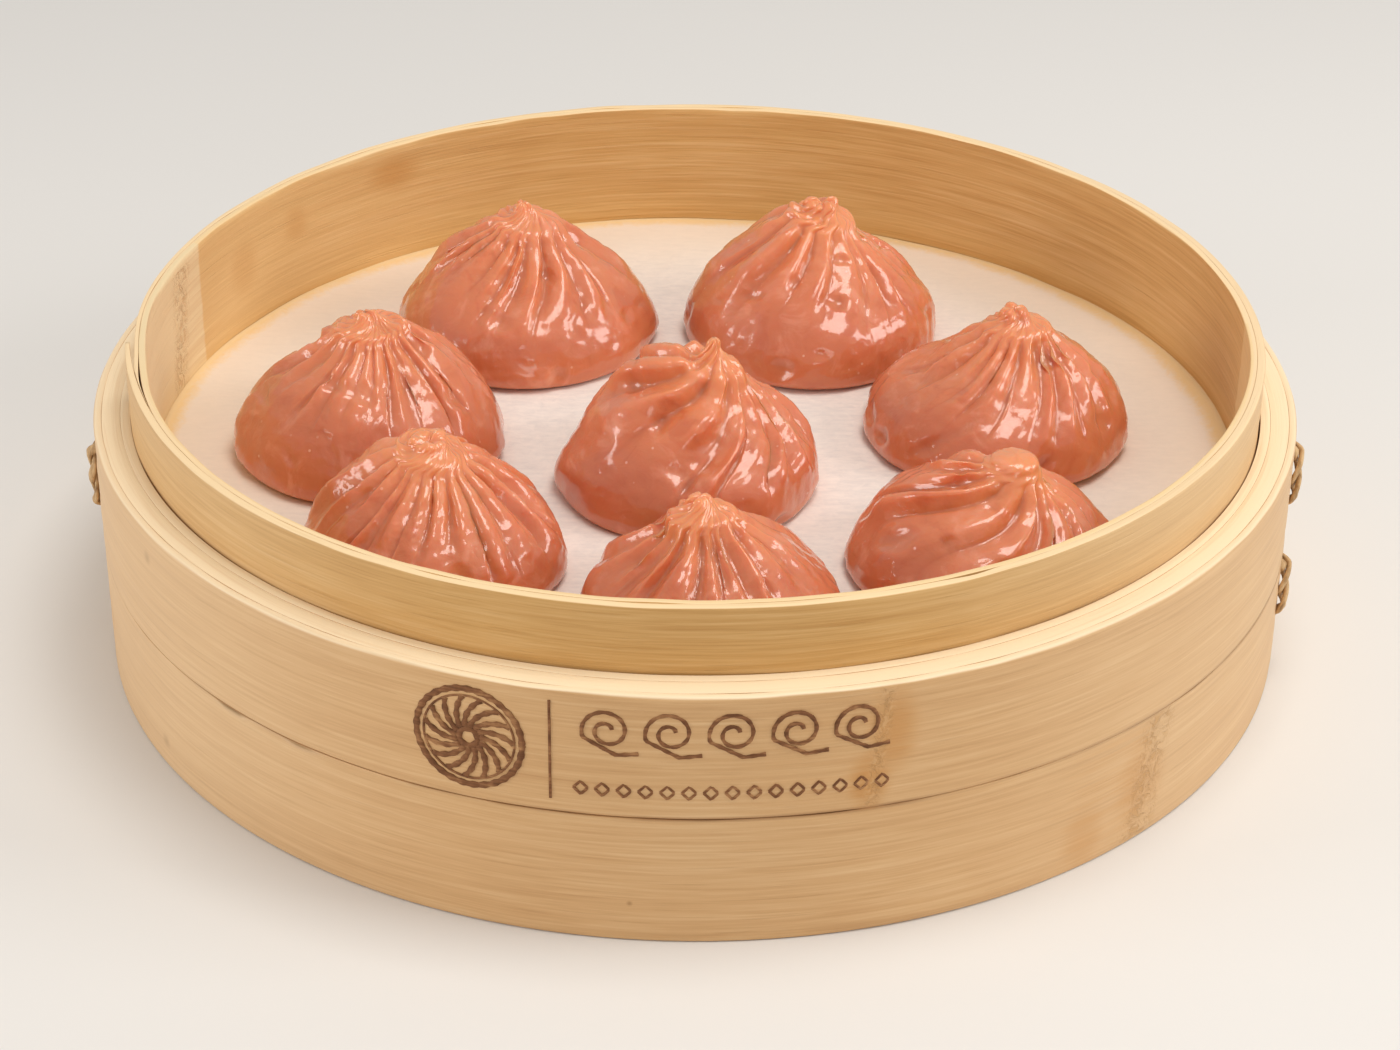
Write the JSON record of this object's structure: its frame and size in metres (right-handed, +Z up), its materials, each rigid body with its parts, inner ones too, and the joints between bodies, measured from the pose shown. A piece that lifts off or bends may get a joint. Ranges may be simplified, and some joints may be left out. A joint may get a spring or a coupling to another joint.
{
  "type": "steamed soup dumplings in a bamboo steamer",
  "caption": "Round bamboo steamer basket, open at the top, with pleated soup dumplings resting on a thin white liner over its slatted floor.",
  "frame": {"origin": "centre of the ring the basket stands on, at floor level", "axes": "+Z up out of the basket, -Y towards the front, +X to the right seen from the front"},
  "size_m": [0.2114, 0.21, 0.0607],
  "materials": {
    "pale_bamboo": "bent pale bamboo strip, satin, lightly oiled by steam",
    "bamboo": "bamboo veneer, satin, fine grain round the wall, with stains and knots",
    "cane": "twisted split cane, dull",
    "liner": "thin white steaming paper, matte and fibrous",
    "dough": "wet, glossy, slightly see-through wheat dough over a pork filling"
  },
  "bodies": {
    "root": {"dumpling_back_left": "dough", "dumpling_back_right": "dough", "dumpling_centre": "dough", "dumpling_front": "dough", "dumpling_front_left": "dough", "dumpling_front_right": "dough", "dumpling_left": "dough", "dumpling_right": "dough", "floor_batten_left": "bamboo", "floor_batten_right": "bamboo", "floor_ring": "bamboo", "floor_slat_01": "bamboo", "floor_slat_02": "bamboo", "floor_slat_03": "bamboo", "floor_slat_04": "bamboo", "floor_slat_05": "bamboo", "floor_slat_06": "bamboo", "floor_slat_07": "bamboo", "floor_slat_08": "bamboo", "floor_slat_09": "bamboo", "floor_slat_10": "bamboo", "floor_slat_11": "bamboo", "floor_slat_12": "bamboo", "floor_slat_13": "bamboo", "hoop_inner": "pale_bamboo", "hoop_middle": "bamboo", "hoop_outer": "bamboo", "lashing_left": "cane", "lashing_right_lower": "cane", "lashing_right_upper": "cane", "liner": "liner", "veneer_lower": "bamboo", "veneer_upper": "bamboo"}
  },
  "joints": []
}
